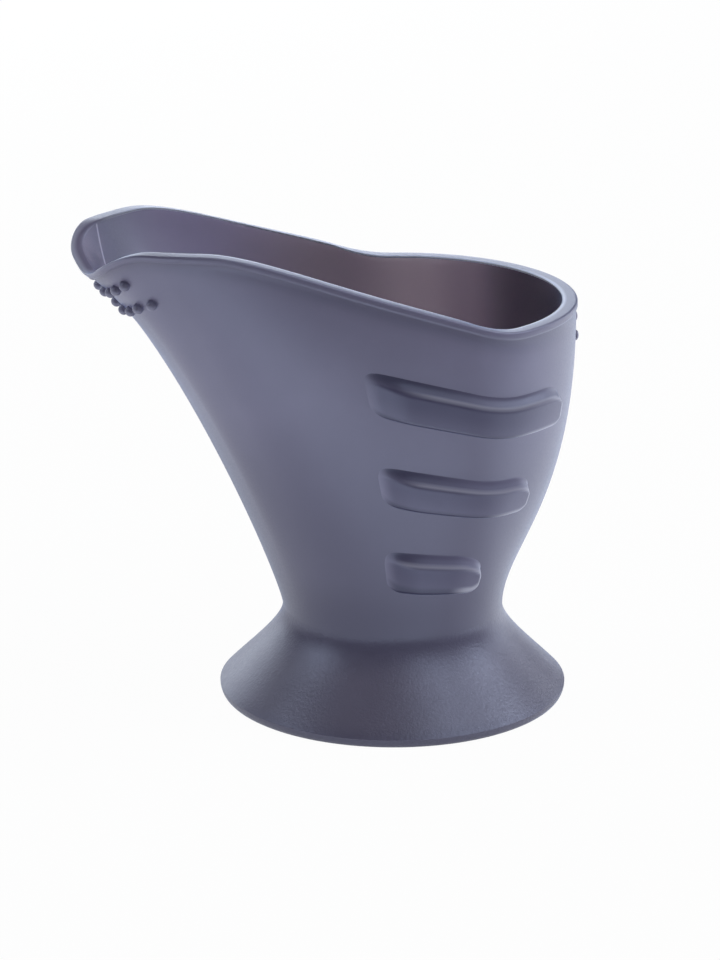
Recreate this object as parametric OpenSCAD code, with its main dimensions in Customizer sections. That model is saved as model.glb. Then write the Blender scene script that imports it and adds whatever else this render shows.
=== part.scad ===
// Training cup for a small child: a leaning bowl with a scooped drinking lip on a
// flared foot, with three finger grips on each side and short rows of nubs.
// Millimetres. The lip points along -X and the foot stands on the plane Z = 0.
// A turn is an angle round the waist, from 0 at the back to 180 at the lip.

/* [Foot] */
// Diameter of the foot where it stands
foot_d = 60; // [50:1:75]
// Height of the rounded edge that runs round the foot
foot_edge_h = 1.5; // [1:0.1:2.5]
// Thickness of the foot's skirt
foot_wall = 3; // [2:0.1:4]
// Slope of the skirt above its edge, from the table
foot_slope = 46; // [38:1:56]
// Length over which the skirt keeps that slope
foot_run = 6.5; // [3:0.5:9]
// Height over which the skirt turns upright below the waist
foot_neck = 4; // [2:0.5:7]

/* [Waist] */
// Diameter of the waist between the foot and the bowl
waist_d = 38; // [32:1:44]
// Height of the waist above the table
waist_h = 15.5; // [12:0.5:20]
// Height of the upright neck above the waist, at the back and the sides
neck_h = 10; // [5:0.5:14]
// Height of the upright neck above the waist, under the lip
lip_neck_h = 3.5; // [2:0.5:8]

/* [Mouth] */
// Reach of the rim behind the axis of the foot
back_reach = 31; // [27:0.5:36]
// Reach of the lip in front of the axis of the foot
lip_reach = 55; // [50:0.5:64]
// Greatest breadth of the mouth
mouth_w = 59; // [52:0.5:66]
// Length over which the mouth keeps its breadth in front of its round back
flank_l = 11.5; // [6:0.5:18]
// Breadth over which the front of the lip runs straight across
lip_front = 10.5; // [6:0.5:16]
// Length over which the lip's front turns towards the flank
lip_corner = 13.5; // [8:0.5:18]

/* [Rim] */
// Height of the rim at the back
back_h = 70; // [60:1:78]
// Height of the rim at the two shoulders beside the lip
shoulder_h = 85.5; // [78:0.5:94]
// Height of the rim at the middle of the lip
lip_h = 80; // [75:0.5:88]
// Turn at which the rim starts to rise from its low back
rise_turn = 58; // [30:1:75]
// Turn at which the rim is highest
shoulder_turn = 129; // [115:1:140]
// Turn at which the rim starts to dip towards the lip
dip_turn = 145; // [135:1:160]
// Height of the band that stands proud round the rim
band_h = 1.5; // [1:0.1:3]
// How far the band stands proud of the wall
band_proud = 0.25; // [0.1:0.05:0.5]
// Rounding of the rim's two edges
rim_round = 0.4; // [0.2:0.05:0.5]

/* [Wall] */
// Thickness of the wall
wall = 2.4; // [1.8:0.1:3.2]
// Thickness of the floor above the waist
floor_h = 3; // [2:0.5:5]
// Rounding between the floor and the wall inside
floor_round = 3.5; // [2:0.5:5]
// Lean of the wall from upright at the back of the rim
back_lean = -2.5; // [-6:0.5:8]
// Lean of the wall from upright at the sides of the rim
side_lean = 5; // [0:0.5:16]
// Lean of the wall from upright at the lip
lip_lean = 53; // [44:0.5:60]
// Height over which the wall keeps its lean at the back
back_run = 40; // [30:0.5:46]
// Height over which the wall keeps its lean at the sides
side_run = 19; // [12:0.5:26]
// Height over which the wall keeps its lean at the lip
lip_run = 14; // [8:0.5:18]

/* [Lip scoop] */
// Thickness of the lip's edge, where the inside is scooped thin
lip_wall = 1.2; // [1:0.1:1.6]
// Distance from the axis of the foot to the crease that runs straight across inside the lip
crease_reach = 48; // [42:0.5:52]

/* [Grips] */
// How far a grip stands proud of the wall
grip_proud = 1.4; // [0.8:0.1:2]
// Rounding of a grip's corners
grip_corner = 2; // [1:0.1:2.4]
// Length of the slope by which a grip rises at its front end
grip_ramp = 4; // [2:0.5:6]
// Bond line between the wall and what is moulded on it
bond = 0.1; // [0.05:0.01:0.2]

/* [Top grip] */
// Height of the top grip's middle line at the back
top_grip_h = 55; // [52:0.5:58]
// Width of the top grip, as it would be at the back
top_grip_w = 7.4; // [5:0.1:8.5]
// Turn of the top grip's front end
top_grip_front = 99; // [90:1:112]
// Turn of the top grip's back end
top_grip_back = 40; // [30:1:52]
// Turn by which the top grip's lower edge lies further forward than its upper edge
top_grip_lean = 0; // [-4:0.5:6]

/* [Middle grip] */
// Height of the middle grip's middle line at the back
middle_grip_h = 40; // [37:0.5:43]
// Width of the middle grip, as it would be at the back
middle_grip_w = 6.8; // [5:0.1:8]
// Turn of the middle grip's front end
middle_grip_front = 102; // [92:1:114]
// Turn of the middle grip's back end
middle_grip_back = 48; // [36:1:60]
// Turn by which the middle grip's lower edge lies further forward than its upper edge
middle_grip_lean = 1; // [-4:0.5:6]

/* [Bottom grip] */
// Height of the bottom grip's middle line at the back
bottom_grip_h = 26; // [24:0.5:29]
// Width of the bottom grip, as it would be at the back
bottom_grip_w = 6.8; // [5:0.1:8]
// Turn of the bottom grip's front end
bottom_grip_front = 110; // [98:1:120]
// Turn of the bottom grip's back end
bottom_grip_back = 67; // [50:1:78]
// Turn by which the bottom grip's lower edge lies further forward than its upper edge
bottom_grip_lean = 3; // [-4:0.5:6]

/* [Nubs] */
// Diameter of a nub
nub_d = 1.8; // [1.2:0.1:2]
// Height of a nub under the lip
nub_h = 1.2; // [0.6:0.1:1.4]
// Height of a nub at the back
rear_nub_h = 0.7; // [0.4:0.1:1.2]
// Nubs in each row
row_nubs = 7; // [3:2:9]
// Spacing of the nubs in an upper row
upper_pitch = 2.7; // [2.2:0.1:3]
// Spacing of the nubs in a lower row
lower_pitch = 3.3; // [2.2:0.1:3.5]
// Distance of an upper row down the wall from the rim
row_drop = 4.7; // [4:0.1:6.5]
// Distance from the upper row to the lower one under the lip
row_gap = 4.1; // [2.4:0.1:6]
// Distance from the upper row to the lower one at the back
rear_row_gap = 3.2; // [2.4:0.1:5]

/* [Hidden] */

slate = [0.40, 0.41, 0.50];
dark_slate = [0.34, 0.34, 0.44];

foot_r = foot_d / 2;
waist_r = waist_d / 2;

// Sectors round the bowl and rings up its wall
sectors = 80;
wall_rings = 14;
// Cells along a grip, points on a curve of the foot, and sides of the foot and of a nub
grip_cells = 18;
curve_points = 16;
foot_sides = 120;
nub_sides = 24;
// Narrowest ring of wall that the scoop takes up round the rim, and where its rings lie across it
scoop_least = 1.2;
scoop_rings = [0.4, 0.7, 0.9, 1];
// Angles of the rings on a rounded edge of the rim, and on the rounding of the floor
edge_angles = [0, 45, 90];
floor_angles = [30, 60, 90];
// Small turn and small share of the wall by which slopes are measured
turn_step = 0.05;
share_step = 0.0005;

// The mouth's round back is an arc about mouth_x, which hands over to the flank at flank_turn;
// the flank hands over to the straight front of the lip at front_turn
flank_turn = 75;
mouth_r = mouth_w / 2;
mouth_x = back_reach - mouth_r;
lip_half = lip_front / 2;
flank_span = (180 - flank_turn) / (1 + lip_half / (3 * lip_corner));
front_turn = flank_turn + flank_span;
// Pace at which points leave the round back, so that they run on evenly along the flank
flank_pace = mouth_r * PI / 2 / flank_turn * flank_span / (3 * flank_l);

// Curves and eases
function ease(u) = let (c = min(max(u, 0), 1)) c * c * (3 - 2 * c);
function bezier(p, t) =
    pow(1 - t, 3) * p[0] + 3 * pow(1 - t, 2) * t * p[1] + 3 * (1 - t) * t * t * p[2] + pow(t, 3) * p[3];
function unit(a) = a / norm(a);

// A turn past the lip or the back comes round on the other side
function wrapped(turn) = turn > 180 ? turn - 360 : turn < -180 ? turn + 360 : turn;

// Height of the rim above the table at a turn
function rim_h(turn) =
    let (a = abs(turn))
    back_h + (shoulder_h - back_h) * ease((a - rise_turn) / (shoulder_turn - rise_turn))
    - (shoulder_h - lip_h) * ease((a - dip_turn) / (180 - dip_turn));

// Point of the rim at a turn, seen in plan
function rim_plan(turn) =
    let (
        a = abs(turn),
        side = turn < 0 ? -1 : 1,
        arc = 90 * a / flank_turn,
        u = (a - flank_turn) / flank_span,
        t = u + (flank_pace - 1) * u * pow(1 - u, 2)
    )
    a < flank_turn
    ? [mouth_x + mouth_r * cos(arc), side * mouth_r * sin(arc)]
    : a < front_turn
    ? [bezier([mouth_x, mouth_x - flank_l, -lip_reach, -lip_reach], t),
       side * bezier([mouth_r, mouth_r, lip_half + lip_corner, lip_half], t)]
    : [-lip_reach, side * lip_half * (180 - a) / (180 - front_turn)];

// A value that changes round the cup from the back by the sides to the lip
function round_cup(turn, back, side, lip) =
    let (c = cos(turn))
    side + ((c > 0 ? back : lip) - side) * c * c;

// The four points of the curve that runs up the wall at a turn
function wall_curve(turn) =
    let (
        foot_point = [waist_r * cos(turn), waist_r * sin(turn), waist_h],
        plan = rim_plan(turn),
        rim_point = [plan[0], plan[1], rim_h(turn)],
        outward = unit([rim_point[0] - foot_point[0], rim_point[1] - foot_point[1]]),
        slope = tan(round_cup(turn, back_lean, side_lean, lip_lean)),
        run = round_cup(turn, back_run, side_run, lip_run),
        neck = round_cup(turn, neck_h, neck_h, lip_neck_h)
    )
    [foot_point,
     foot_point + [0, 0, neck],
     rim_point - run * [slope * outward[0], slope * outward[1], 1],
     rim_point];

// Outside of the wall at a turn, a share of the way from the waist to the rim
function wall_point(turn, share) = bezier(wall_curve(wrapped(turn)), share);

// Outward direction of the wall there
function wall_normal(turn, share) =
    let (
        round = wall_point(turn + turn_step, share) - wall_point(turn - turn_step, share),
        up = wall_point(turn, share + share_step) - wall_point(turn, share - share_step)
    )
    unit(cross(round, up));

// Point that stands off the wall by a distance, outwards if positive
function off_wall(turn, share, stand) = wall_point(turn, share) + stand * wall_normal(turn, share);

// Share of the wall at a height above the table, found by halving
function share_at(turn, height, low = 0, high = 1, steps = 24) =
    let (middle = (low + high) / 2)
    steps == 0 ? middle
    : wall_point(turn, middle)[2] < height ? share_at(turn, height, middle, high, steps - 1)
    : share_at(turn, height, low, middle, steps - 1);

// Share of the wall at a distance down from the rim
function share_below(turn, distance) =
    let (curve = wall_curve(wrapped(turn)))
    1 - distance / (3 * norm(curve[3] - curve[2]));

// Width of the scoop from the rim down to the crease, and how deep it is there
function scoop_width(turn) = max((-rim_plan(turn)[0] - crease_reach) / sin(lip_lean), scoop_least);
function scoop_depth(turn) = ease((scoop_width(turn) - scoop_least) / (scoop_width(180) - scoop_least));

// Thickness of the wall at a distance down from the rim: thin inside the lip, with a crease
function thickness(turn, distance) =
    let (hollow = max(1 - pow(distance / scoop_width(turn), 2), 0))
    wall - (wall - lip_wall) * scoop_depth(turn) * hollow;

// Height at a turn that lies as high between waist and rim as a given height does at the back
function fanned_h(turn, height) =
    waist_h + (height - waist_h) * (rim_h(turn) - waist_h) / (back_h - waist_h);

// Faces between rings of points that are joined round, lowest ring first
function ring_faces(rings, count) = [
    for (r = [0:rings - 2], s = [0:count - 1])
        let (n = (s + 1) % count, a = r * count + s, b = r * count + n)
        each [[a, a + count, b + count], [a, b + count, b]]
];

// Point of the rim or the inside: a distance down the wall from the rim's level top
function level_point(turn, distance, stand, lean) =
    off_wall(turn, share_below(turn, distance + max(-stand, 0) * lean), stand);

// One section of the bowl at a turn: up the outside, over the level rim and down the inside
function bowl_section(turn) =
    let (
        out = wall_normal(turn, 1),
        lean = -out[2] / norm([out[0], out[1]]),
        scoop = scoop_width(turn),
        band_share = share_below(turn, band_h),
        inner_top = share_below(turn, scoop + wall * lean),
        floor_top = waist_h + floor_h,
        inner_share = share_at(turn, floor_top + floor_round),
        inner_foot = off_wall(turn, inner_share, -wall),
        foot_plan = [inner_foot[0], inner_foot[1]],
        floor_plan = foot_plan * (1 - floor_round / norm(foot_plan)),
        // Steps of a rounded edge: how far in and how far down
        edge = [for (a = edge_angles) [1 - sin(a), 1 - cos(a)] * rim_round]
    )
    concat(
        [for (r = [0:wall_rings]) wall_point(turn, band_share * r / wall_rings)],
        [off_wall(turn, share_below(turn, band_h - band_proud), band_proud)],
        [for (e = [len(edge) - 1:-1:0]) level_point(turn, edge[e][1], band_proud - edge[e][0], lean)],
        [for (e = edge) level_point(turn, e[1], e[0] - thickness(turn, e[1]), lean)],
        [for (k = scoop_rings) level_point(turn, scoop * k, -thickness(turn, scoop * k), lean)],
        [for (r = [1:wall_rings - 2])
            off_wall(turn, inner_top + (inner_share - inner_top) * r / (wall_rings - 2), -wall)],
        [for (a = floor_angles)
            [each (foot_plan * cos(a) + floor_plan * (1 - cos(a))),
             inner_foot[2] + (floor_top - inner_foot[2]) * sin(a)]]
    );

// Bowl: one lofted shell with the rim's band, the scooped lip and a flat floor
module bowl() {
    sections = [for (s = [0:sectors - 1]) bowl_section(wrapped(s * 360 / sectors))];
    rings = len(sections[0]);
    points = [for (r = [0:rings - 1], s = [0:sectors - 1]) sections[s][r]];
    under = len(points);
    inside = under + 1;
    last = (rings - 1) * sectors;
    caps = [
        for (s = [0:sectors - 1])
            let (n = (s + 1) % sectors)
            each [[under, s, n], [inside, last + n, last + s]]
    ];
    all_points = concat(points, [[0, 0, waist_h], [0, 0, waist_h + floor_h]]);
    color(slate) polyhedron(all_points, concat(ring_faces(rings, sectors), caps), convexity = 10);
}

// Curve of the skirt from its edge up to the waist
function skirt_curve(start, end) = [
    start,
    start + foot_run * [-cos(foot_slope), sin(foot_slope)],
    end - [0, foot_neck],
    end
];

// Foot: a hollow flared skirt, open below, that carries the bowl at the waist
module foot() {
    outside = skirt_curve([foot_r, foot_edge_h], [waist_r, waist_h]);
    inside = skirt_curve([foot_r - foot_wall, 0], [waist_r - foot_wall, waist_h]);
    edge = [for (a = [0:15:75])
        [foot_r - foot_edge_h / 2 * (1 - sin(a)), foot_edge_h * (1 - cos(a))]];
    profile = concat(
        edge,
        [for (i = [0:curve_points]) bezier(outside, i / curve_points)],
        [for (i = [curve_points:-1:0]) bezier(inside, i / curve_points)]
    );
    color(dark_slate) rotate_extrude($fn = foot_sides) polygon(profile);
}

// Shares across a grip from its lower to its upper edge, and how proud it stands there
grip_across = [[0, 0.5], [0.08, 0.9], [0.22, 1], [0.5, 1], [0.72, 1], [0.86, 0.85], [1, 0.3]];
// How low a grip starts at its front end, how blunt its back end is, and how far its corners draw in
grip_front_start = 0.15;
grip_back_end = 0.5;
grip_draw = 0.8;

// One point of a grip: along it from front to back, across it, lifted off the wall
function grip_point(height, width, front, back, lean, length, along, across, lift) =
    let (
        turn = front + (back - front) * along - lean * (0.5 - across),
        to_end = min(grip_corner, length * along, length * (1 - along)),
        corner = grip_corner - sqrt(max(pow(grip_corner, 2) - pow(grip_corner - to_end, 2), 0)),
        from_middle = (across - 0.5) * (width - 2 * corner * grip_draw),
        share = share_at(turn, fanned_h(turn, height + from_middle))
    )
    off_wall(turn, share, lift);

// How proud a grip stands along its length: a slope at the front, a blunt end at the back
function grip_rise(length, along) =
    let (
        front = grip_front_start + (1 - grip_front_start) * ease(length * along / grip_ramp),
        behind = grip_back_end + (1 - grip_back_end) * min(length * (1 - along) / grip_corner * 2, 1)
    )
    min(front, behind);

// Grip: a raised bar that follows the wall, on the left side or mirrored to the right
module grip(height, width, front, back, lean) {
    front_point = wall_point(-front, share_at(-front, fanned_h(front, height)));
    back_point = wall_point(-back, share_at(-back, fanned_h(back, height)));
    length = norm(front_point - back_point);
    lines = len(grip_across);
    // Points are closer together near the two ends
    alongs = [for (i = [0:grip_cells]) (1 - cos(180 * i / grip_cells)) / 2];
    top = [for (u = alongs, w = grip_across)
        grip_point(height, width, -front, -back, lean, length, u, w[0],
                   bond + grip_proud * w[1] * grip_rise(length, u))];
    seat = [for (u = alongs, w = grip_across)
        grip_point(height, width, -front, -back, lean, length, u, w[0], bond)];
    count = len(top);
    function at(i, j) = i * lines + j;
    skin = [for (i = [0:grip_cells - 1], j = [0:lines - 2])
        let (a = at(i, j), b = at(i + 1, j), c = at(i + 1, j + 1), d = at(i, j + 1))
        each [[a, c, b], [a, d, c], [count + a, count + b, count + c], [count + a, count + c, count + d]]];
    rim = concat(
        [for (i = [0:grip_cells]) at(i, 0)],
        [for (j = [1:lines - 1]) at(grip_cells, j)],
        [for (i = [grip_cells - 1:-1:0]) at(i, lines - 1)],
        [for (j = [lines - 2:-1:1]) at(0, j)]
    );
    sides = [for (k = [0:len(rim) - 1])
        let (a = rim[k], b = rim[(k + 1) % len(rim)])
        each [[a, b, count + b], [a, count + b, count + a]]];
    color(dark_slate) polyhedron(concat(top, seat), concat(skin, sides), convexity = 10);
}

module top_grip() {
    grip(top_grip_h, top_grip_w, top_grip_front, top_grip_back, top_grip_lean);
}
module middle_grip() {
    grip(middle_grip_h, middle_grip_w, middle_grip_front, middle_grip_back, middle_grip_lean);
}
module bottom_grip() {
    grip(bottom_grip_h, bottom_grip_w, bottom_grip_front, bottom_grip_back, bottom_grip_lean);
}
module right_side() { mirror([0, 1, 0]) children(); }

// Nub: a small post with a domed head that stands off the wall
module nub(height) {
    r = nub_d / 2;
    post_h = height / 3;
    dome = [for (a = [0:15:90]) [r * cos(a), post_h + (height - post_h) * sin(a)]];
    rotate_extrude($fn = nub_sides) polygon(concat([[0, 0], [r, 0]], dome));
}

// Row of nubs that follows the rim, a distance down the wall from it
module nub_row(middle_turn, pitch, drop, height) {
    middle_share = share_below(middle_turn, drop);
    one_turn = wall_point(middle_turn + 0.5, middle_share) - wall_point(middle_turn - 0.5, middle_share);
    turn_pitch = pitch / norm(one_turn);
    color(dark_slate)
    for (i = [0:row_nubs - 1]) {
        turn = wrapped(middle_turn + (i - (row_nubs - 1) / 2) * turn_pitch);
        share = share_below(turn, drop);
        out = wall_normal(turn, share);
        translate(off_wall(turn, share, bond))
        rotate([0, acos(out[2]), atan2(out[1], out[0])])
        nub(height);
    }
}

module upper_lip_nubs() { nub_row(180, upper_pitch, row_drop, nub_h); }
module lower_lip_nubs() { nub_row(180, lower_pitch, row_drop + row_gap, nub_h); }
module upper_rear_nubs() { nub_row(0, upper_pitch, row_drop, rear_nub_h); }
module lower_rear_nubs() { nub_row(0, lower_pitch, row_drop + rear_row_gap, rear_nub_h); }

bowl();
foot();
top_grip();  // left_top_grip
middle_grip();  // left_middle_grip
bottom_grip();  // left_bottom_grip
right_side() top_grip();  // right_top_grip
right_side() middle_grip();  // right_middle_grip
right_side() bottom_grip();  // right_bottom_grip
upper_lip_nubs();
lower_lip_nubs();
upper_rear_nubs();
lower_rear_nubs();
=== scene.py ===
"""Looks of a small child's training cup: a frosted slate-blue cup, moulded in one soft piece."""
from functools import lru_cache
from math import atan2, cos, degrees, hypot, pi, radians, sin, sqrt, tan

import bmesh
import bpy
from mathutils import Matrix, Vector


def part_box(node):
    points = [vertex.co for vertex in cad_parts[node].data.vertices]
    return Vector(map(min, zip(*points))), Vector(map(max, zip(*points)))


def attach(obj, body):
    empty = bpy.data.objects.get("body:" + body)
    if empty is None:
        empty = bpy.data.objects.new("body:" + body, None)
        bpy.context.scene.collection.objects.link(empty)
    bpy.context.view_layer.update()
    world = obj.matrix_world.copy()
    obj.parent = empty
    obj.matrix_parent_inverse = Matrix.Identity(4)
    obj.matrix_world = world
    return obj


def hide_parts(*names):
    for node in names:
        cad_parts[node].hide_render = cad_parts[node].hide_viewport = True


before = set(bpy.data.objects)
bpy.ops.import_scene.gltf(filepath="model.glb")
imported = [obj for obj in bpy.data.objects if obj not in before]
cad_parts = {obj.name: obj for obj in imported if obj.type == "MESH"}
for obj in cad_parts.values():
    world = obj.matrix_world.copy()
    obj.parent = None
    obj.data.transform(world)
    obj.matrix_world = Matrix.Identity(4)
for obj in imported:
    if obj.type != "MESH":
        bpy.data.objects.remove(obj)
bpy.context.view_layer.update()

# Bowl
# The leaning bowl is the cup's wall: a soft smoke-blue elastomer, injection moulded 2.4 mm thick,
# round at the waist and drawn out above into a lip that a child drinks from.
# Sizes are in metres. A turn is an angle round the waist, 0 at the back and 180 at the lip.
waist_r = 0.019
waist_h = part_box("foot")[1].z
neck_h = 0.010
lip_neck_h = 0.0035
back_reach = 0.031
lip_reach = 0.05498
mouth_r = 0.0295
flank_l = 0.0115
lip_half = 0.00525
lip_corner = 0.0135
back_h = 0.070
shoulder_h = 0.08549
lip_h = 0.080
rise_turn = 58
shoulder_turn = 129
dip_turn = 145
band_h = 0.0015
band_proud = 0.00025
rim_round = 0.0004
rim_inset = 0.0005
wall = 0.0024
floor_top = waist_h + 0.003
floor_round = 0.0035
back_lean, side_lean, lip_lean = -2.5, 5, 53
back_run, side_run, lip_run = 0.040, 0.019, 0.014
lip_wall = 0.0012
crease_reach = 0.048
scoop_least = 0.0012

# The mouth's round back hands over to its flank at flank_turn, and that to the lip's straight front
# at front_turn. The pace lets points run on evenly from the round back along the flank.
mouth_x = back_reach - mouth_r
flank_turn = 75
flank_span = (180 - flank_turn) / (1 + lip_half / (3 * lip_corner))
front_turn = flank_turn + flank_span
flank_pace = mouth_r * pi / 2 / flank_turn * flank_span / (3 * flank_l)


def ease(share):
    """A soft step from 0 to 1."""
    held = min(max(share, 0.0), 1.0)
    return held * held * (3 - 2 * held)


def ramp(value, start, span):
    """A soft step up from 0 to 1, from where a value reaches the start, over a span."""
    return ease((value - start) / span)


def fall(value, end, span):
    """A soft step down from 1 to 0, over a span, to where a value reaches the end."""
    return ease((end - value) / span)


def bezier(points, share):
    """Point of a cubic curve, for numbers and for vectors."""
    rest = 1 - share
    return (points[0] * rest ** 3 + points[1] * 3 * rest * rest * share
            + points[2] * 3 * rest * share * share + points[3] * share ** 3)


def rim_h(turn):
    """Height of the rim: low at the back, highest at the shoulders, dipped at the lip."""
    rise = ramp(abs(turn), rise_turn, shoulder_turn - rise_turn)
    dip = ramp(abs(turn), dip_turn, 180 - dip_turn)
    return back_h + (shoulder_h - back_h) * rise - (shoulder_h - lip_h) * dip


def rim_plan(turn):
    """Point of the rim seen from above: an arc at the back, a drawn-out flank, a straight lip."""
    side = -1 if turn < 0 else 1
    if abs(turn) < flank_turn:
        arc = radians(90 * abs(turn) / flank_turn)
        return mouth_x + mouth_r * cos(arc), side * mouth_r * sin(arc)
    if abs(turn) >= front_turn:
        return -lip_reach, side * lip_half * (180 - abs(turn)) / (180 - front_turn)
    even = (abs(turn) - flank_turn) / flank_span
    share = even + (flank_pace - 1) * even * (1 - even) ** 2
    along = bezier((mouth_x, mouth_x - flank_l, -lip_reach, -lip_reach), share)
    across = bezier((mouth_r, mouth_r, lip_half + lip_corner, lip_half), share)
    return along, side * across


def round_cup(turn, back, side, lip):
    """A value that changes from the back by the sides to the lip."""
    lengthwise = cos(radians(turn))
    end = back if lengthwise > 0 else lip
    return side + (end - side) * lengthwise * lengthwise


@lru_cache(maxsize=None)
def wall_curve(turn):
    """The four points of the curve that runs up the outside of the wall."""
    angle = radians(turn)
    low = Vector((waist_r * cos(angle), waist_r * sin(angle), waist_h))
    high = Vector((*rim_plan(turn), rim_h(turn)))
    outward = Vector((high.x - low.x, high.y - low.y, 0)).normalized()
    slope = tan(radians(round_cup(turn, back_lean, side_lean, lip_lean)))
    run = round_cup(turn, back_run, side_run, lip_run)
    neck = round_cup(turn, neck_h, neck_h, lip_neck_h)
    up = Vector((0, 0, 1))
    return low, low + up * neck, high - (outward * slope + up) * run, high


def wall_point(turn, share):
    """Outside of the wall, a share of the way from the waist to the rim."""
    wrapped = turn - 360 if turn > 180 else turn + 360 if turn < -180 else turn
    return bezier(wall_curve(wrapped), share)


def wall_normal(turn, share):
    """Outward direction of the wall, from a small step round it and a small step up it."""
    turn_step, share_step = 0.05, 0.0005
    around = wall_point(turn + turn_step, share) - wall_point(turn - turn_step, share)
    upward = wall_point(turn, share + share_step) - wall_point(turn, share - share_step)
    return around.cross(upward).normalized()


def off_wall(turn, share, stand):
    """Point that stands off the wall by a distance, outwards if positive."""
    return wall_point(turn, share) + wall_normal(turn, share) * stand


def share_at(turn, height):
    """Share of the wall at a height above the table, found by halving."""
    low, high = 0.0, 1.0
    halvings = 22
    for _ in range(halvings):
        middle = (low + high) / 2
        if wall_point(turn, middle).z < height:
            low = middle
        else:
            high = middle
    return (low + high) / 2


def share_below(turn, distance):
    """Share of the wall at a distance down from the rim."""
    curve = wall_curve(turn)
    return 1 - distance / (3 * (curve[3] - curve[2]).length)


def scoop_width(turn):
    """Width of the scoop inside the lip, from the rim down to a crease that runs straight across."""
    return max((-rim_plan(turn)[0] - crease_reach) / sin(radians(lip_lean)), scoop_least)


def scoop_depth(turn):
    """How deep the scoop is cut: 0 away from the lip, 1 at its middle."""
    return ramp(scoop_width(turn), scoop_least, scoop_width(180) - scoop_least)


def thickness(turn, distance):
    """Thickness of the wall below the rim: scooped thin inside the lip, down to the crease."""
    hollow = max(1 - (distance / scoop_width(turn)) ** 2, 0)
    return wall - (wall - lip_wall) * scoop_depth(turn) * hollow


# The mesh has rings up the outside and the inside, closer together at the rim. On the rim's top, a
# painted highlight lies at the back and in the scoop; painted shade lies on the lip's two sides and
# under the band.
bowl_sectors = 240
outside_rings = 48
inside_rings = 40
groove_rings = 3
band_steps = 4
round_step = 15
scoop_shares = (0.08, 0.25, 0.45, 0.6, 0.72, 0.82, 0.9, 0.96, 1)
lip_side_turn = 120
lip_side_span = 25
# Painted highlight on the rim's top; painted shade on the lip's sides, the rim's rounding and the band.
rim_highlight_part = 0.25
scoop_highlight_part = 0.4
lip_side_shade = 0.5
rounding_shade = 0.4
band_fade = 0.3


def bowl_section(turn):
    """Points of one section, up the outside, over the level rim, down the inside and over the floor.

    Each comes with whether it is inside the cup, how much painted highlight it takes as an edge of the
    rim, and how much painted shade it takes, as under the rim band.
    """
    out = wall_normal(turn, 1)
    lean = -out.z / hypot(out.x, out.y)
    scoop = scoop_width(turn)
    scooped = scoop_depth(turn)
    lip_side = ramp(abs(turn), lip_side_turn, lip_side_span)
    top_highlight = rim_highlight_part * (1 - lip_side) + scoop_highlight_part * scooped
    top_shade = lip_side_shade * lip_side * (1 - scooped)

    def level(distance, stand):
        return off_wall(turn, share_below(turn, distance + max(-stand, 0) * lean), stand)

    turned = [radians(angle) for angle in range(0, 91, round_step)]
    rounding = [(rim_round * (1 - sin(angle)), rim_round * (1 - cos(angle))) for angle in turned]
    band_share = share_below(turn, band_h)
    section = []
    for ring in range(outside_rings + 1):
        # Painted shade on the last rings below the rim band, darkest just under it.
        groove = max(ring + groove_rings - outside_rings, 0) / groove_rings
        section.append((wall_point(turn, band_share * ring / outside_rings), 0, 0, groove * groove))
    for step in range(1, band_steps + 1):
        share = step / band_steps
        ledge = share_below(turn, band_h - band_proud * 2 * share)
        section.append((off_wall(turn, ledge, band_proud * ease(share)), 0, 0, 1 - band_fade * share))
    for step, (inward, down) in enumerate(reversed(rounding)):
        share = step / (len(rounding) - 1)
        painted_dark = max(rounding_shade * (1 - share), top_shade)
        section.append((level(down, band_proud - inward), 0, share * top_highlight, painted_dark))
    section.append((level(0, rim_round + rim_inset - thickness(turn, 0)), 0, top_highlight, top_shade))
    for inward, down in rounding:
        section.append((level(down, inward - thickness(turn, down)), 0, 1 - lip_side, 0))
    for share in scoop_shares:
        distance = scoop * share
        section.append((level(distance, -thickness(turn, distance)), 1, 0, 0))
    inner_top = share_below(turn, scoop + wall * lean)
    inner_low = share_at(turn, floor_top + floor_round)
    for ring in range(1, inside_rings + 1):
        share = inner_top + (inner_low - inner_top) * ring / inside_rings
        section.append((off_wall(turn, share, -wall), 1, 0, 0))
    foot_of_wall = section[-1][0]
    reach = hypot(foot_of_wall.x, foot_of_wall.y)
    for angle in range(round_step, 91, round_step):
        inward = 1 - floor_round / reach * (1 - cos(radians(angle)))
        height = foot_of_wall.z + (floor_top - foot_of_wall.z) * sin(radians(angle))
        section.append((Vector((foot_of_wall.x * inward, foot_of_wall.y * inward, height)), 1, 0, 0))
    return section


# Where each tone of the wall starts or ends along the cup, or above the table, and over what length
# it changes. All are painted light and shade. The inside goes from painted shade in the thin lip over
# painted light through the wall and a painted warm glow to painted shade at the back.
thin_fall = (-0.035, 0.012)
inner_light_ramp = (-0.03, 0.03)
glow_ramp = (0.002, 0.012)
glow_end = (0.016, 0.006)
glow_loss = 0.6
inner_shade_ramp = (0.0218, 0.006)
low_fall, low_part = (0.07, 0.035), 0.8
waist_fall, waist_part = (0.027, 0.008), 0.2
lip_fall, lip_part = (-0.015, 0.02), 0.3
back_ramp, back_part = (0.01, 0.015), 0.45


def wall_tones(place, inside):
    """How much of each painted tone of light and shade the wall takes at a place; unnamed tones are
    none.
    """
    if not inside:
        # Painted shade: the outside darkens towards the bottom and the waist, at the lip and at the
        # back.
        low_end = low_part * fall(place.z, *low_fall) + waist_part * fall(place.z, *waist_fall)
        lip_end = lip_part * fall(place.x, *lip_fall)
        back_end = back_part * ramp(place.x, *back_ramp)
        return {"deep": max(low_end, lip_end, back_end)}
    # Inside: painted shade in the thin lip, painted light through the wall, a painted glow, painted
    # shade at the back.
    return {
        "thin": fall(place.x, *thin_fall),
        "inner_light": ramp(place.x, *inner_light_ramp),
        "painted_glow": ramp(place.x, *glow_ramp) * (1 - glow_loss * ramp(place.x, *glow_end)),
        "painted_dark": ramp(place.x, *inner_shade_ramp),
    }


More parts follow.
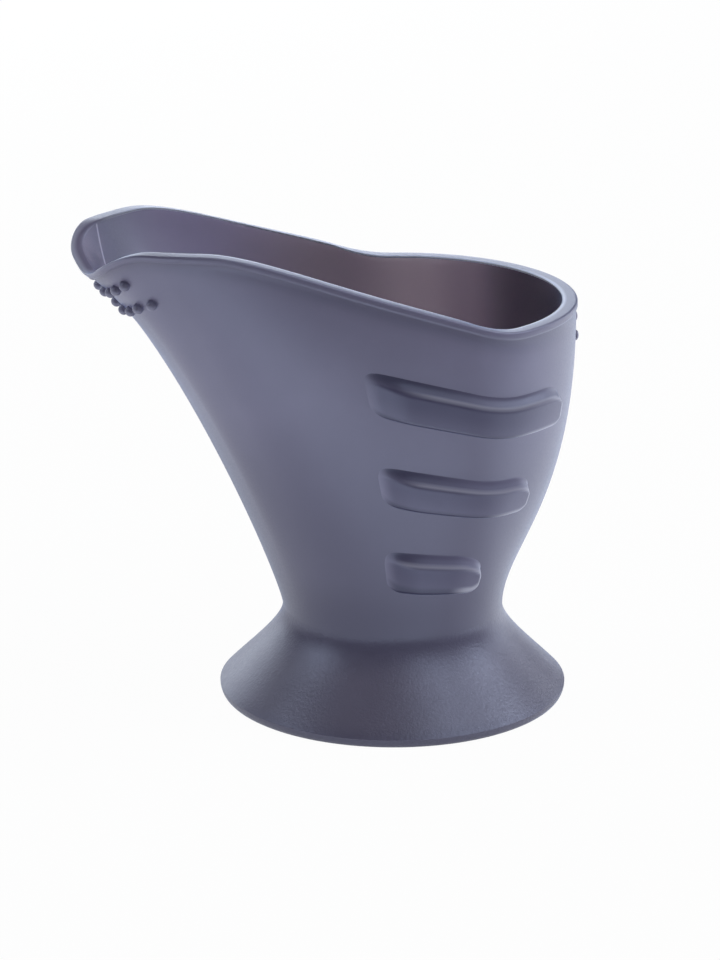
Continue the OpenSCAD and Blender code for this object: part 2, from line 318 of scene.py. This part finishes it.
def finished(name, bm, sharp_angle=35):
    """Turns a bmesh into a smooth-shaded object that stays at the origin."""
    mesh = bpy.data.meshes.new(name)
    bmesh.ops.recalc_face_normals(bm, faces=bm.faces)
    if bm.calc_volume(signed=True) < 0:
        bmesh.ops.reverse_faces(bm, faces=bm.faces)
    bm.to_mesh(mesh)
    bm.free()
    mesh.shade_smooth()
    mesh.set_sharp_from_angle(angle=radians(sharp_angle))
    piece = bpy.data.objects.new(name, mesh)
    bpy.context.scene.collection.objects.link(piece)
    return piece


def grow_ring(bm, edges):
    """Extrudes a ring of edges and returns the new ring's vertices and edges."""
    grown = bmesh.ops.extrude_edge_only(bm, edges=edges)["geom"]
    verts = [item for item in grown if isinstance(item, bmesh.types.BMVert)]
    fresh = set(verts)
    ring = {edge for vert in verts for edge in vert.link_edges if set(edge.verts) <= fresh}
    return verts, list(ring)


# The circle at the waist is extruded ring by ring along the sections, and both ends are closed.
bm = bmesh.new()
sector_layer = bm.verts.layers.float.new("sector")
tone_names = ("inside", "rim_edge", "groove", "thin", "inner_light", "painted_glow", "painted_dark", "deep")
tone_layers = {name: bm.verts.layers.float.new(name) for name in tone_names}
ring_verts = bmesh.ops.create_circle(bm, segments=bowl_sectors, radius=waist_r)["verts"]
sections = {}
for sector, vert in enumerate(ring_verts):
    turn = round(degrees(atan2(vert.co.y, vert.co.x)), 4)
    vert[sector_layer] = sector
    sections[sector] = bowl_section(turn)
ring_edges = list(bm.edges)
bmesh.ops.contextual_create(bm, geom=ring_edges)
for ring in range(len(sections[0])):
    if ring > 0:
        ring_verts, ring_edges = grow_ring(bm, ring_edges)
    for vert in ring_verts:
        place, inside, edge, groove = sections[round(vert[sector_layer])][ring]
        tones = wall_tones(place, inside)
        tones.update(inside=inside, rim_edge=edge, groove=groove)
        vert.co = place
        for name, layer in tone_layers.items():
            vert[layer] = tones.get(name, 0)
bmesh.ops.contextual_create(bm, geom=ring_edges)
bowl = finished("bowl_wall", bm)
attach(bowl, "root")
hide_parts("bowl")


def frosted_grain():
    """Shared effect: the mould's fine sand-blasted grain and the faint clouds of a smoky elastomer."""
    group = bpy.data.node_groups.new("frosted grain", "ShaderNodeTree")
    group.interface.new_socket("Grain size", in_out="INPUT", socket_type="NodeSocketFloat")
    group.interface.new_socket("Grain", in_out="OUTPUT", socket_type="NodeSocketFloat")
    group.interface.new_socket("Cloud", in_out="OUTPUT", socket_type="NodeSocketFloat")
    nodes, links = group.nodes, group.links
    given = nodes.new("NodeGroupInput")
    result = nodes.new("NodeGroupOutput")
    place = nodes.new("ShaderNodeTexCoord")
    grain = nodes.new("ShaderNodeTexNoise")
    grain.inputs["Detail"].default_value = 2
    grain.inputs["Roughness"].default_value = 0.6
    cloud = nodes.new("ShaderNodeTexNoise")
    cloud.inputs["Scale"].default_value = 45
    cloud.inputs["Detail"].default_value = 3
    links.new(place.outputs["Object"], grain.inputs["Vector"])
    links.new(place.outputs["Object"], cloud.inputs["Vector"])
    links.new(given.outputs["Grain size"], grain.inputs["Scale"])
    links.new(grain.outputs["Fac"], result.inputs["Grain"])
    links.new(cloud.outputs["Fac"], result.inputs["Cloud"])
    return group


grain_group = frosted_grain()


def put_in(links, socket, value):
    """Gives a socket a constant or another node's output."""
    if isinstance(value, bpy.types.NodeSocket):
        links.new(value, socket)
    else:
        socket.default_value = value


def mixed(nodes, links, factor, first, second, blend="MIX"):
    """A colour mix; each input is a constant or another node's output."""
    mix = nodes.new("ShaderNodeMix")
    mix.data_type = "RGBA"
    mix.blend_type = blend
    # The node has sockets for each kind of value: inputs 6 and 7 and output 2 are its colours.
    put_in(links, mix.inputs[0], factor)
    put_in(links, mix.inputs[6], first)
    put_in(links, mix.inputs[7], second)
    return mix.outputs[2]


def combined(nodes, links, operation, first, second):
    """Works out one value from two, each a constant or another node's output."""
    work = nodes.new("ShaderNodeMath")
    work.operation = operation
    put_in(links, work.inputs[0], first)
    put_in(links, work.inputs[1], second)
    return work.outputs[0]


def spread(nodes, links, value, low, high, from_low=0.0, from_high=1.0):
    """Maps a value that changes over the surface to a range."""
    ranged = nodes.new("ShaderNodeMapRange")
    ranged.inputs["From Min"].default_value = from_low
    ranged.inputs["From Max"].default_value = from_high
    ranged.inputs["To Min"].default_value = low
    ranged.inputs["To Max"].default_value = high
    links.new(value, ranged.inputs["Value"])
    return ranged.outputs["Result"]


def attribute(nodes, name):
    """Value of a piece's own point attribute."""
    read = nodes.new("ShaderNodeAttribute")
    read.attribute_name = name
    return read.outputs["Fac"]


frost_least, frost_most = 0.32, 0.44
cloud_least, cloud_most = 0.92, 1.08
noise_low, noise_high = 0.3, 0.7


def elastomer(name, tone, grain_size, grain_depth, glow):
    """Start of a frosted elastomer: its shader, its grain and a toned colour that clouds a little."""
    material = bpy.data.materials.new(name)
    material.use_nodes = True
    nodes, links = material.node_tree.nodes, material.node_tree.links
    shader = nodes["Principled BSDF"]
    shader.inputs["IOR"].default_value = 1.48
    shader.inputs["Specular IOR Level"].default_value = 1
    shader.inputs["Specular Tint"].default_value = (0.68, 0.76, 1, 1)
    shader.inputs["Sheen Weight"].default_value = 0.4
    shader.inputs["Sheen Roughness"].default_value = 0.3
    shader.inputs["Sheen Tint"].default_value = (0.3, 0.5, 1, 1)
    shader.inputs["Subsurface Weight"].default_value = glow
    shader.inputs["Subsurface Radius"].default_value = (1, 0.9, 0.95)
    shader.inputs["Subsurface Scale"].default_value = 0.008
    grain = nodes.new("ShaderNodeGroup")
    grain.node_tree = grain_group
    grain.inputs["Grain size"].default_value = grain_size
    cloud = spread(nodes, links, grain.outputs["Cloud"], cloud_least, cloud_most, noise_low, noise_high)
    colour = mixed(nodes, links, 1.0, tone, cloud, "MULTIPLY")
    frost = spread(nodes, links, grain.outputs["Grain"], frost_least, frost_most, noise_low, noise_high)
    links.new(frost, shader.inputs["Roughness"])
    bump = nodes.new("ShaderNodeBump")
    bump.inputs["Strength"].default_value = 0.2
    bump.inputs["Distance"].default_value = grain_depth
    links.new(grain.outputs["Grain"], bump.inputs["Height"])
    links.new(bump.outputs["Normal"], shader.inputs["Normal"])
    return material, nodes, links, shader, colour


crease_line_reach = 0.0489
crease_line_half = 0.00005
crease_line_soft = 0.0002


def crease_highlight(nodes, links):
    """A painted highlight: the thin pale line along the crease, straight across inside the lip."""
    place = nodes.new("ShaderNodeTexCoord")
    parts = nodes.new("ShaderNodeSeparateXYZ")
    links.new(place.outputs["Object"], parts.inputs["Vector"])
    past = combined(nodes, links, "ADD", parts.outputs["X"], crease_line_reach)
    away = combined(nodes, links, "ABSOLUTE", past, 0)
    line = spread(nodes, links, away, 1, 0, crease_line_half, crease_line_soft)
    return combined(nodes, links, "MULTIPLY", line, attribute(nodes, "inside"))


slate = (0.215, 0.199, 0.295, 1)
highlight_slate = (0.62, 0.66, 0.86, 1)
shade_slate = (0.11, 0.1, 0.16, 1)
lip_shade_slate = (0.15, 0.147, 0.215, 1)
inner_light = (0.222, 0.192, 0.222, 1)
glow_tone = (0.37, 0.335, 0.355, 1)
inner_shade_tone = (0.075, 0.065, 0.08, 1)
crease_highlight_tone = (0.4, 0.4, 0.5, 1)
fine_grain = 2800
fine_depth = 0.00005
outside_glow, inside_glow = 0.25, 1
edge_cover = 0.9
edge_gloss = 0.85
scoop_frost = 1.5
wall_material, nodes, links, shader, colour = elastomer(
    "frosted_wall", slate, fine_grain, fine_depth, inside_glow)
glow = spread(nodes, links, attribute(nodes, "inside"), outside_glow, inside_glow)
links.new(glow, shader.inputs["Subsurface Weight"])
# The inside's painted light and shade: the thin lip, light through the wall, a warm glow, the back.
for name, tone in (("thin", lip_shade_slate), ("inner_light", inner_light), ("painted_glow", glow_tone), ("painted_dark", inner_shade_tone)):
    colour = mixed(nodes, links, attribute(nodes, name), colour, tone)
# Painted highlight along the crease.
colour = mixed(nodes, links, crease_highlight(nodes, links), colour, crease_highlight_tone)
# Painted shade: the outside's darker bottom, lip and back, and the shade under the rim band.
for name in ("deep", "groove"):
    colour = mixed(nodes, links, attribute(nodes, name), colour, shade_slate)
# Painted highlight along the rim's top and inner edge, which is also a little glossier.
edge = spread(nodes, links, attribute(nodes, "rim_edge"), 0, edge_cover)
colour = mixed(nodes, links, edge, colour, highlight_slate)
links.new(colour, shader.inputs["Base Color"])
frost = shader.inputs["Roughness"].links[0].from_socket
for name, amount in (("rim_edge", edge_gloss), ("thin", scoop_frost)):
    factor = spread(nodes, links, attribute(nodes, name), 1, amount)
    frost = combined(nodes, links, "MULTIPLY", frost, factor)
links.new(frost, shader.inputs["Roughness"])
bowl.data.materials.append(wall_material)

# Foot
# The foot is a hollow flared skirt under the waist, of the same moulding, open below.
# Its mould is sand-blasted more coarsely, so its cone shows a fine grain.
box_clearance = 0.00001
foot_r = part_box("foot")[1].x - box_clearance
foot_edge_h = 0.0015
foot_wall = 0.003
foot_slope = radians(46)
foot_run = 0.0065
foot_neck = 0.004
curve_steps = 40
edge_steps = 8
# Painted shade darkens the foot at its neck under the waist and near its lower edge.
neck_shade = (0.008, 0.007)
edge_shade, edge_part = (0.0035, 0.003), 0.7


def skirt_curve(start, end):
    """Curve of the skirt from its edge up to the waist."""
    away = Vector((-cos(foot_slope), 0, sin(foot_slope))) * foot_run
    return start, start + away, end - Vector((0, 0, foot_neck)), end


outside = skirt_curve(Vector((foot_r, 0, foot_edge_h)), Vector((waist_r, 0, waist_h)))
inside = skirt_curve(Vector((foot_r - foot_wall, 0, 0)), Vector((waist_r - foot_wall, 0, waist_h)))
profile = []
for step in range(edge_steps):
    angle = pi / 2 * step / edge_steps
    edge_r = foot_r - foot_edge_h / 2 * (1 - sin(angle))
    profile.append(Vector((edge_r, 0, foot_edge_h * (1 - cos(angle)))))
profile += [bezier(outside, step / curve_steps) for step in range(curve_steps + 1)]
profile += [bezier(inside, step / curve_steps) for step in range(curve_steps, -1, -1)]
bm = bmesh.new()
verts = [bm.verts.new(point) for point in profile]
edges = [bm.edges.new((verts[i], verts[(i + 1) % len(verts)])) for i in range(len(verts))]
bmesh.ops.spin(bm, geom=verts + edges, cent=(0, 0, 0), axis=(0, 0, 1), angle=2 * pi,
               steps=bowl_sectors, use_merge=True)
bmesh.ops.remove_doubles(bm, verts=bm.verts, dist=1e-6)
shade_layer = bm.verts.layers.float.new("deep")
for vert in bm.verts:
    vert[shade_layer] = max(ramp(vert.co.z, *neck_shade), edge_part * fall(vert.co.z, *edge_shade))
foot = finished("foot_skirt", bm)
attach(foot, "root")
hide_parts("foot")

foot_slate = (0.165, 0.147, 0.205, 1)
coarse_grain = 1900
coarse_depth = 0.0003
foot_material, nodes, links, shader, colour = elastomer(
    "sanded_foot", foot_slate, coarse_grain, coarse_depth, outside_glow)
# The painted shade at the neck and the lower edge.
colour = mixed(nodes, links, attribute(nodes, "deep"), colour, shade_slate)
links.new(colour, shader.inputs["Base Color"])
foot.data.materials.append(foot_material)

# Finger grips
# Three raised bars on each side give small fingers a hold. They are moulded with the wall, with a soft
# slope above and in front and a crisp edge below and behind. Their colour carries painted light: painted
# shade on the face where the thick elastomer lets less light through, painted shadows and highlights.
grip_proud = 0.0014
grip_corner = 0.0028
low_corner = 0.0024
high_corner = 0.0009
back_corner = 0.0026
back_round = 0.0058
grip_sunk = 0.0003
front_slope = 0.006
top_slope = 0.0023
crisp_round = 0.0008
grip_shy = 0.00002
along_cells, across_cells = 72, 32
grip_sharp = 60

# Height at back, width, front and back turn, lean, width of the painted shadow line along the lower
# edge.
grip_sizes = {
    "top": (0.055, 0.0074, 99, 40, 0, 0.0012),
    "middle": (0.040, 0.0068, 102, 48, 1, 0.0013),
    "bottom": (0.026, 0.0068, 110, 67, 3, 0.0018),
}


def fanned_h(turn, height):
    """Height that lies as high between waist and rim as a given height does at the back."""
    return waist_h + (height - waist_h) * (rim_h(turn) - waist_h) / (back_h - waist_h)


def rounded(distance, reach):
    """How far a round corner cuts in, from 1 at the end to 0 at its reach."""
    return 1 - sqrt(1 - (1 - min(distance / reach, 1)) ** 2)


def grip_lift(from_front, from_back, from_below, from_above):
    """How proud a grip stands, from the distances to its four edges."""
    front = ramp(from_front, 0, front_slope)
    behind = 1 - rounded(from_back, crisp_round)
    below = 1 - rounded(from_below, crisp_round)
    above = ramp(from_above, 0, top_slope)
    return grip_proud * min(front, behind) * below * above


# Where each painted shade, shadow and highlight of a bar starts or ends, from an edge or as a share
# of its length, and over what span it changes.
face_front = (0, 0.0025)
face_above = (0.0014, 0.0006)
face_below, below_loss = (0.004, 0.004), 0.25
slope_least = 0.6
back_share, back_loss = (0.6, 0.25), 0.3
shadow_line_soft = 0.0008
shadow_above, shadow_along = (0.0021, 0.0014), (0.12, 0.4)
shadow_front, shadow_part = (0, 0.003), 0.8
ledge_start, ledge_end = (0.0013, 0.0004), (0.0022, 0.0004)
ledge_along, ledge_part = (0.1, 0.15), 0.45
end_back, end_above = (0.0011, 0.0006), (0, 0.002)
low_line_part = 0.8


def grip_tones(along, from_front, from_back, from_below, from_above, shadow_line_width):
    """How much of painted shade on the face, painted shadow and painted highlight a place on a bar has.
    """
    full = ramp(from_front, *face_front)
    to_back = ramp(along, *back_share)
    paler = (1 - below_loss * fall(from_below, *face_below)) * (1 - back_loss * to_back)
    # Painted shade on the face and the top slope, lighter low down and towards the back.
    face = full * max(ramp(from_above, *face_above), slope_least) * paler
    # Painted shadow: a dark line along the lower edge, and a band over the top near the front.
    lower_line = full * fall(from_below, shadow_line_width, shadow_line_soft)
    shadow = fall(from_above, *shadow_above) * (1 - ramp(along, *shadow_along))
    shadow *= shadow_part * ramp(from_front, *shadow_front)
    # Painted highlights: the ledge, the back end, and the lower edge near the back.
    ledge = ramp(from_above, *ledge_start) * fall(from_above, *ledge_end) * ramp(along, *ledge_along)
    end_line = fall(from_back, *end_back) * ramp(from_above, *end_above)
    edges = max(full * ledge_part * ledge, full * end_line, low_line_part * lower_line * to_back)
    return face, max(lower_line * (1 - to_back), shadow), edges


def finger_grip(name, side, height, width, front, back, lean, shadow_line_width):
    """One grip bar on the left (-1) or the right (1) side, from its front end to its back end."""
    front_point = wall_point(side * front, share_at(side * front, fanned_h(front, height)))
    back_point = wall_point(side * back, share_at(side * back, fanned_h(back, height)))
    length = (front_point - back_point).length
    bm = bmesh.new()
    # Painted shade, painted shadow and painted highlight of the bar.
    layers = [bm.verts.layers.float.new(tone) for tone in ("proud", "bar_shadow", "bar_highlight")]
    bmesh.ops.create_grid(bm, x_segments=along_cells, y_segments=across_cells, size=1)
    whole_grid = bm.verts[:] + bm.edges[:] + bm.faces[:]
    raised = set(bmesh.ops.extrude_face_region(bm, geom=whole_grid, use_keep_orig=True)["geom"])
    for vert in bm.verts:
        along = (1 - cos(pi * (vert.co.x + 1) / 2)) / 2
        across = (1 - cos(pi * (vert.co.y + 1) / 2)) / 2
        turn = side * (front + (back - front) * along + lean * (0.5 - across))
        from_front, from_back = length * along, length * (1 - along)
        front_cut = high_corner * rounded(from_front, grip_corner)
        back_cut = back_corner * rounded(from_back, back_round)
        low_edge = low_corner * rounded(min(from_front, from_back), grip_corner) - width / 2
        drawn = width / 2 - front_cut - back_cut - low_edge
        from_below, from_above = drawn * across, drawn * (1 - across)
        share = share_at(turn, fanned_h(turn, height + low_edge + from_below))
        lift = grip_lift(from_front, from_back, from_below, from_above)
        vert.co = off_wall(turn, share, lift - grip_shy if vert in raised else -grip_sunk)
        tones = grip_tones(along, from_front, from_back, from_below, from_above, shadow_line_width)
        for layer, amount in zip(layers, tones):
            vert[layer] = amount
    piece = finished(name, bm, grip_sharp)
    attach(piece, "root")
    return piece


bar_shade_tone = (0.066, 0.056, 0.115, 1)
bar_shadow_tone = (0.05, 0.045, 0.09, 1)
bar_highlight_tone = (0.55, 0.54, 0.64, 1)
grip_material, nodes, links, shader, colour = elastomer("grip_with_painted_light", slate, fine_grain, fine_depth, 0)
# Painted light on the bars: shade on the face, painted shadows and painted highlights.
for name, tone in (("proud", bar_shade_tone), ("bar_shadow", bar_shadow_tone), ("bar_highlight", bar_highlight_tone)):
    colour = mixed(nodes, links, attribute(nodes, name), colour, tone)
links.new(colour, shader.inputs["Base Color"])

# Light passes through the elastomer, so the bars cast no shadow through the wall.
for side_name, side in (("left", -1), ("right", 1)):
    for grip_name, sizes in grip_sizes.items():
        piece = finger_grip(f"{side_name}_{grip_name}_bar", side, *sizes)
        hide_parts(f"{side_name}_{grip_name}_grip")
        piece.data.materials.append(grip_material)
        piece.visible_shadow = False

# Nubs
# Short rows of small round nubs stand under the lip and under the back of the rim, where a
# child's lip and thumb feel for them. They are moulded with the wall, as posts with domed heads.
nub_r = 0.0009
row_nubs = 7
row_drop = 0.0047
post_share = 1 / 3
root_share = 0.6
root_least = 0.3

# Turn of the row's middle, pitch, drop below the rim, and height of a nub.
nub_rows = {
    "upper_lip": (180, 0.0027, row_drop, 0.0012),
    "lower_lip": (180, 0.0033, row_drop + 0.0041, 0.0012),
    "upper_rear": (0, 0.0027, row_drop, 0.0007),
    "lower_rear": (0, 0.0033, row_drop + 0.0032, 0.0007),
}


def nub_row(name, middle_turn, pitch, drop, nub_h):
    """A row of nubs that follows the rim, a distance down the wall from it."""
    middle_share = share_below(middle_turn, drop)
    one_turn = wall_point(middle_turn + 0.5, middle_share) - wall_point(middle_turn - 0.5, middle_share)
    turn_pitch = pitch / one_turn.length
    bm = bmesh.new()
    for index in range(row_nubs):
        turn = middle_turn + (index - (row_nubs - 1) / 2) * turn_pitch
        turn = turn - 360 if turn > 180 else turn
        share = share_below(turn, drop)
        stand = wall_normal(turn, share).to_track_quat("Z", "Y").to_matrix().to_4x4()
        stand.translation = off_wall(turn, share, 0)
        ball = bmesh.ops.create_uvsphere(bm, u_segments=20, v_segments=12, radius=1)["verts"]
        for vert in ball:
            domed = vert.co.z >= 0
            rise = nub_h * (post_share + vert.co.z * (1 - post_share if domed else root_share))
            wide = nub_r if domed else nub_r / max(hypot(vert.co.x, vert.co.y), root_least)
            vert.co = stand @ Vector((vert.co.x * wide, vert.co.y * wide, rise))
    piece = finished(name, bm)
    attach(piece, "root")
    return piece


# The nubs' tone is a little darker than the wall's: painted shade.
nub_slate = (0.2, 0.185, 0.27, 1)
nub_depth = 0.00003
nub_material, nodes, links, shader, colour = elastomer("shaded_nub", nub_slate, fine_grain, nub_depth, 0)
links.new(colour, shader.inputs["Base Color"])
for row_name, row_sizes in nub_rows.items():
    piece = nub_row(f"{row_name}_row", *row_sizes)
    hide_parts(f"{row_name}_nubs")
    piece.data.materials.append(nub_material)
    piece.visible_shadow = False

# Table, surroundings and lights
# A plain white table in a white studio. Soft boxes stand round the cup and above it, the strongest
# behind it and to its right; soft strips and a black card lie on the table, out of sight.
table_half = 3
table_white = 0.97
bm = bmesh.new()
bmesh.ops.create_grid(bm, x_segments=1, y_segments=1, size=table_half)
table = finished("table", bm)
table_material = bpy.data.materials.new("white_table")
table_material.use_nodes = True
nodes, links = table_material.node_tree.nodes, table_material.node_tree.links
shader = nodes["Principled BSDF"]
shader.inputs["Base Color"].default_value = (0.9, 0.9, 0.9, 1)
shader.inputs["Roughness"].default_value = 0.9
glow = nodes.new("ShaderNodeEmission")
glow.inputs["Color"].default_value = (1, 1, 1, 1)
seen = nodes.new("ShaderNodeLightPath")
blend = nodes.new("ShaderNodeMixShader")
either = combined(nodes, links, "MAXIMUM", seen.outputs["Is Camera Ray"], seen.outputs["Is Glossy Ray"])
links.new(combined(nodes, links, "MULTIPLY", either, table_white), blend.inputs[0])
links.new(shader.outputs[0], blend.inputs[1])
links.new(glow.outputs[0], blend.inputs[2])
links.new(blend.outputs[0], nodes["Material Output"].inputs["Surface"])
table.data.materials.append(table_material)

world = bpy.data.worlds.new("white_studio")
bpy.context.scene.world = world
world.use_nodes = True
room = world.node_tree.nodes["Background"]
room.inputs["Color"].default_value = (1, 1, 1, 1)
room.inputs["Strength"].default_value = 0.02

card_material = bpy.data.materials.new("black_card")
card_material.use_nodes = True
shader = card_material.node_tree.nodes["Principled BSDF"]
shader.inputs["Base Color"].default_value = (0.02, 0.02, 0.02, 1)
shader.inputs["Roughness"].default_value = 1


def face_point(thing, place, aim):
    """Puts a light or a card at a place, turned to face a point, and out of the camera's sight."""
    thing.location = place
    thing.rotation_euler = (Vector(aim) - Vector(place)).to_track_quat("-Z", "Y").to_euler()
    thing.visible_camera = False


def black_card(name, place, aim, width, height):
    """A black card that is only seen mirrored in the cup, where it takes the table's white away."""
    bm = bmesh.new()
    bmesh.ops.create_grid(bm, x_segments=1, y_segments=1, size=0.5)
    card = finished(name, bm)
    card.scale = (width, height, 1)
    face_point(card, place, aim)
    card.visible_diffuse = False
    card.visible_shadow = False
    card.data.materials.append(card_material)


def soft_box(name, place, aim, width, height, power, mirrored=True):
    """A large rectangular soft light that faces a point; a fill light isn't mirrored in the cup."""
    lamp = bpy.data.lights.new(name, "AREA")
    lamp.shape = "RECTANGLE"
    lamp.size = width
    lamp.size_y = height
    lamp.energy = power
    lamp.color = (0.9, 0.95, 1)
    box = bpy.data.objects.new(name, lamp)
    bpy.context.scene.collection.objects.link(box)
    face_point(box, place, aim)
    box.visible_glossy = mirrored


cup_middle = (0, 0, 0.045)
box_far = 0.7


def around_cup(turn, rise):
    """Place of a soft box, by its turn from the cup's back and its rise over the cup's middle."""
    level = box_far * cos(radians(rise))
    height = cup_middle[2] + box_far * sin(radians(rise))
    return level * cos(radians(turn)), level * sin(radians(turn)), height


soft_box("right_box", around_cup(343, 34), cup_middle, 0.35, 0.3, 1.35)
soft_box("fill_box", around_cup(255, 12), cup_middle, 0.6, 0.5, 0.18, mirrored=False)
soft_box("high_box", around_cup(292, 48), cup_middle, 0.4, 0.3, 0.8)
soft_box("top_box", around_cup(318, 60), cup_middle, 0.3, 0.3, 0.5)
soft_box("back_box", around_cup(90, 14), cup_middle, 0.85, 0.45, 2.8)
soft_box("low_right_box", around_cup(12, 6), cup_middle, 0.4, 0.3, 0.8)
soft_box("left_box", around_cup(165, 33), cup_middle, 0.35, 0.3, 0.95)

strip_h = 0.0006
card_h = 0.0004
card_turn = radians(260)
card_far = 0.5


def floor_strip(name, turn, far, width, depth, power):
    """A soft light that lies on the table and shines up, at a turn and a distance from the cup."""
    place = Vector((far * cos(radians(turn)), far * sin(radians(turn)), strip_h))
    soft_box(name, place, place + Vector((0, 0, 1)), width, depth, power)


floor_strip("front_strip", 232, 0.0975, 0.16, 0.05, 0.025)
floor_strip("right_strip", 5, 0.22, 0.35, 0.3, 0.25)
floor_strip("left_strip", 185, 0.22, 0.3, 0.3, 0.1)
card_place = Vector((cos(card_turn), sin(card_turn), 0)) * card_far
black_card("front_card", card_place + Vector((0, 0, card_h)), card_place + Vector((0, 0, -1)), 1.2, 0.8)

# Camera
# The photograph's view, as fitted to the cup's outline: a long lens, from the lip's left side and
# a little above, about 0.64 m away.
camera_turn = radians(-23.37)
camera_rise = radians(17.98)
camera_far = 0.6375
aim_right = -0.00564
aim_height = 0.0375
right = Vector((cos(camera_turn), sin(camera_turn), 0))
level = cos(camera_rise)
back = Vector((sin(camera_turn) * level, -cos(camera_turn) * level, sin(camera_rise)))
aim = right * aim_right + Vector((0, 0, aim_height))
camera = bpy.data.cameras.new("camera")
camera.sensor_fit = "VERTICAL"
camera.sensor_height = 36
camera.lens = 139.35
viewer = bpy.data.objects.new("camera", camera)
bpy.context.scene.collection.objects.link(viewer)
viewer.location = aim + back * camera_far
viewer.rotation_euler = back.to_track_quat("Z", "Y").to_euler()
bpy.context.scene.camera = viewer
bpy.context.scene.view_settings.view_transform = "Standard"
